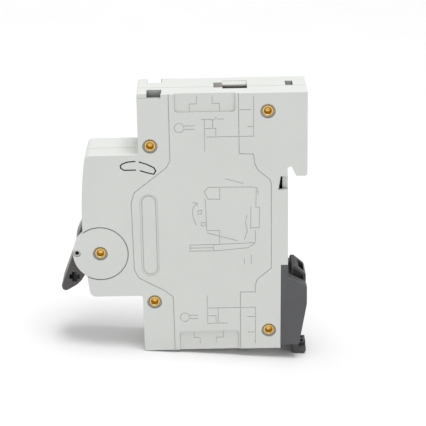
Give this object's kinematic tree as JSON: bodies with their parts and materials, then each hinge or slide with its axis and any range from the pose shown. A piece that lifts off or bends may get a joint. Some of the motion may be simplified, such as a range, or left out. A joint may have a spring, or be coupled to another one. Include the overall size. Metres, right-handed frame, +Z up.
{
  "type": "circuit breaker",
  "caption": "Single-pole miniature circuit breaker for a 35 mm mounting rail, with toggle, clamp terminals, coil, bimetal, contacts, arc chamber and sprung rail slide.",
  "frame": {"origin": "middle of the rear face that seats on the mounting rail, at mid width and mid height", "axes": "+Y out of the rail seat towards the rail, so the toggle faces -Y; +Z up towards the top terminal; +X across the width, to the right-hand side seen from the front"},
  "size_m": [0.0176, 0.0748, 0.0853],
  "materials": {
    "shell": "fine satin, moulded, light warm grey",
    "dark_plastic": "fine matt texture, dark grey",
    "slide_plastic": "matt, glass filled, dark grey",
    "toggle_plastic": "satin, brownish dark grey",
    "mechanism_plastic": "matt black",
    "bobbin_plastic": "semi gloss, amber",
    "fibre": "matt vulcanised fibre, reddish brown",
    "brass": "drawn and rolled, bright",
    "steel": "ground",
    "plated_steel": "zinc plated",
    "spring_steel": "drawn wire",
    "bimetal": "rolled strip",
    "copper": "bare copper",
    "contact_silver": "silver alloy, satin"
  },
  "bodies": {
    "casing": {"right_cover": "shell", "left_base": "shell", "casing_rivets": "brass", "toggle_rivet": "brass", "arm_pin": "steel", "trip_pin": "steel", "rear_plate": "dark_plastic", "fixed_contact_strip": "copper", "fixed_contact": "contact_silver", "coil_bobbin": "bobbin_plastic", "coil_winding": "copper", "magnet_yoke": "plated_steel", "fixed_core": "steel", "plunger_spring": "spring_steel", "arc_plates": "plated_steel", "arc_side_walls": "fibre", "vent_grille": "fibre", "lower_arc_strip": "plated_steel", "bimetal_bracket": "plated_steel", "bimetal_strip": "bimetal", "calibration_screw": "brass", "flexible_lead": "copper", "top_strip": "copper", "bottom_strip": "copper"},
    "toggle": {"toggle": "toggle_plastic", "toggle_spring": "spring_steel"},
    "link": {"toggle_link": "steel"},
    "switch_arm": {"contact_carrier": "mechanism_plastic", "contact_arm": "copper", "moving_contact": "contact_silver", "arm_spring": "spring_steel"},
    "trip_lever": {"trip_lever": "mechanism_plastic", "trip_spring": "spring_steel"},
    "plunger": {"plunger": "steel", "striker_pin": "brass"},
    "rail_slide": {"rail_slide": "slide_plastic"},
    "top_screw": {"top_screw": "plated_steel"},
    "top_cage": {"top_cage": "plated_steel"},
    "bottom_screw": {"bottom_screw": "plated_steel"},
    "bottom_cage": {"bottom_cage": "plated_steel"}
  },
  "joints": [
    {"name": "toggle_turn", "type": "hinge", "parent": "casing", "child": "toggle", "pos_m": [0, -0.0565, -0.0085], "axis": [-1, 0, 0], "range_deg": [0, 86]},
    {"name": "link_turn", "type": "hinge", "parent": "toggle", "child": "link", "pos_m": [0, -0.05589, -0.00505], "axis": [1, 0, 0], "range_deg": [0, 102.32]},
    {"name": "arm_turn", "type": "hinge", "parent": "casing", "child": "switch_arm", "pos_m": [0, -0.041, -0.0015], "axis": [1, 0, 0], "range_deg": [0, 26.8]},
    {"name": "trip_turn", "type": "hinge", "parent": "casing", "child": "trip_lever", "pos_m": [0, -0.0455, -0.0142], "axis": [-1, 0, 0], "range_deg": [0, 10], "stiffness_Nm_per_rad": 0.0004, "springref_deg": -17.19},
    {"name": "plunger_slide", "type": "slide", "parent": "casing", "child": "plunger", "axis": [0, 0, -1], "range_m": [0, 0.0031], "stiffness_N_per_m": 80, "springref_m": -0.002, "deforming": ["plunger_spring"]},
    {"name": "rail_slide_travel", "type": "slide", "parent": "casing", "child": "rail_slide", "axis": [0, 0, -1], "range_m": [0, 0.0038], "stiffness_N_per_m": 600, "springref_m": -0.003},
    {"name": "top_screw_turn", "type": "hinge", "parent": "casing", "child": "top_screw", "pos_m": [0, -0.034, 0.0315], "axis": [0, 1, 0], "range_deg": [0, 2890]},
    {"name": "top_cage_travel", "type": "slide", "parent": "casing", "child": "top_cage", "axis": [0, -1, 0], "range_m": [0, 0.0064]},
    {"name": "bottom_screw_turn", "type": "hinge", "parent": "casing", "child": "bottom_screw", "pos_m": [0, -0.034, -0.0315], "axis": [0, 1, 0], "range_deg": [0, 2890]},
    {"name": "bottom_cage_travel", "type": "slide", "parent": "casing", "child": "bottom_cage", "axis": [0, -1, 0], "range_m": [0, 0.0064]}
  ],
  "couplings": [
    {"joint": "link_turn", "follows": "toggle_turn", "ratio": 1.1874},
    {"joint": "arm_turn", "follows": "toggle_turn", "ratio": 0.31046},
    {"joint": "top_screw_turn", "follows": "top_cage_travel", "rad_per_m": 7854},
    {"joint": "bottom_screw_turn", "follows": "bottom_cage_travel", "rad_per_m": 7854}
  ]
}
